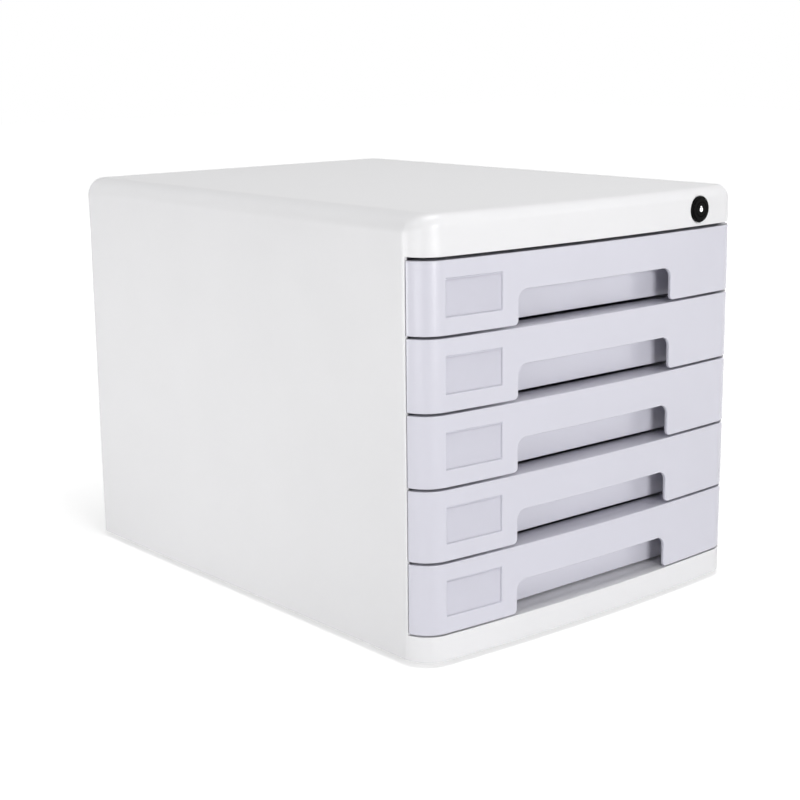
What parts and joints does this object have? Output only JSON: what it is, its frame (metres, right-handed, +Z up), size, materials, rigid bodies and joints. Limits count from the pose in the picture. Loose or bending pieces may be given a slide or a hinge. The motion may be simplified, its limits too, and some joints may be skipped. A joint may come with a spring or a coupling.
{
  "type": "desktop file drawer",
  "caption": "Desktop drawer cabinet for A4 papers: bowed-front plastic casing, sliding drawers with finger cutouts and label recesses, and a cam lock that secures them all.",
  "frame": {"origin": "on the desk, under the middle of the casing's footprint (the feet's undersides are at z = 0)", "axes": "+Z up, the drawers open towards -Y, +X is the right-hand side seen from the front, where the lock is"},
  "size_m": [0.271, 0.361, 0.26],
  "materials": {
    "casing_plastic": "off-white moulded plastic, satin",
    "inner_plastic": "off-white moulded plastic, fine matte texture",
    "drawer_plastic": "pale lavender-grey moulded plastic, satin",
    "label_paper": "blank label card",
    "clear_plastic": "clear label cover",
    "lock_black": "black lacquered die casting",
    "chrome_plate": "bright chrome plate",
    "zinc_steel": "zinc-plated steel",
    "foot_rubber": "black rubber"
  },
  "bodies": {
    "casing": {"outer_shell": "casing_plastic", "base_plate": "inner_plastic", "back_panel": "inner_plastic", "left_runner_panel": "inner_plastic", "right_runner_panel": "inner_plastic", "foot_front_left": "foot_rubber", "foot_front_right": "foot_rubber", "foot_rear_left": "foot_rubber", "foot_rear_right": "foot_rubber", "base_screw_front_left": "zinc_steel", "base_screw_front_right": "zinc_steel", "base_screw_rear_left": "zinc_steel", "base_screw_rear_right": "zinc_steel", "back_screw_lower_left": "zinc_steel", "back_screw_lower_right": "zinc_steel", "back_screw_upper_left": "zinc_steel", "back_screw_upper_right": "zinc_steel", "lock_barrel": "lock_black", "lock_nut": "zinc_steel"},
    "lock_core": {"lock_plug": "lock_black", "lock_keyhole_plate": "chrome_plate", "lock_cam": "zinc_steel", "lock_cam_screw": "zinc_steel"},
    "locking_bar": {"locking_bar": "zinc_steel"},
    "drawer_1": {"drawer_1_tray": "drawer_plastic", "drawer_1_front": "drawer_plastic", "drawer_1_label_card": "label_paper", "drawer_1_label_window": "clear_plastic", "drawer_1_catch": "zinc_steel"},
    "drawer_2": {"drawer_2_tray": "drawer_plastic", "drawer_2_front": "drawer_plastic", "drawer_2_label_card": "label_paper", "drawer_2_label_window": "clear_plastic", "drawer_2_catch": "zinc_steel"},
    "drawer_3": {"drawer_3_tray": "drawer_plastic", "drawer_3_front": "drawer_plastic", "drawer_3_label_card": "label_paper", "drawer_3_label_window": "clear_plastic", "drawer_3_catch": "zinc_steel"},
    "drawer_4": {"drawer_4_tray": "drawer_plastic", "drawer_4_front": "drawer_plastic", "drawer_4_label_card": "label_paper", "drawer_4_label_window": "clear_plastic", "drawer_4_catch": "zinc_steel"},
    "drawer_5": {"drawer_5_tray": "drawer_plastic", "drawer_5_front": "drawer_plastic", "drawer_5_label_card": "label_paper", "drawer_5_label_window": "clear_plastic", "drawer_5_catch": "zinc_steel"}
  },
  "joints": [
    {"name": "drawer_1_slide", "type": "slide", "parent": "casing", "child": "drawer_1", "axis": [0, -1, 0], "range_m": [0, 0.25]},
    {"name": "drawer_2_slide", "type": "slide", "parent": "casing", "child": "drawer_2", "axis": [0, -1, 0], "range_m": [0, 0.25]},
    {"name": "drawer_3_slide", "type": "slide", "parent": "casing", "child": "drawer_3", "axis": [0, -1, 0], "range_m": [0, 0.25]},
    {"name": "drawer_4_slide", "type": "slide", "parent": "casing", "child": "drawer_4", "axis": [0, -1, 0], "range_m": [0, 0.25]},
    {"name": "drawer_5_slide", "type": "slide", "parent": "casing", "child": "drawer_5", "axis": [0, -1, 0], "range_m": [0, 0.25]},
    {"name": "lock_turn", "type": "hinge", "parent": "casing", "child": "lock_core", "pos_m": [0.0923, -0.16, 0.2468], "axis": [0, -1, 0], "range_deg": [0, 90]},
    {"name": "locking_bar_lift", "type": "slide", "parent": "casing", "child": "locking_bar", "axis": [0, 0, 1], "range_m": [0, 0.0106]}
  ],
  "couplings": [
    {"joint": "lock_turn", "follows": "locking_bar_lift", "rad_per_m": 148.09}
  ]
}
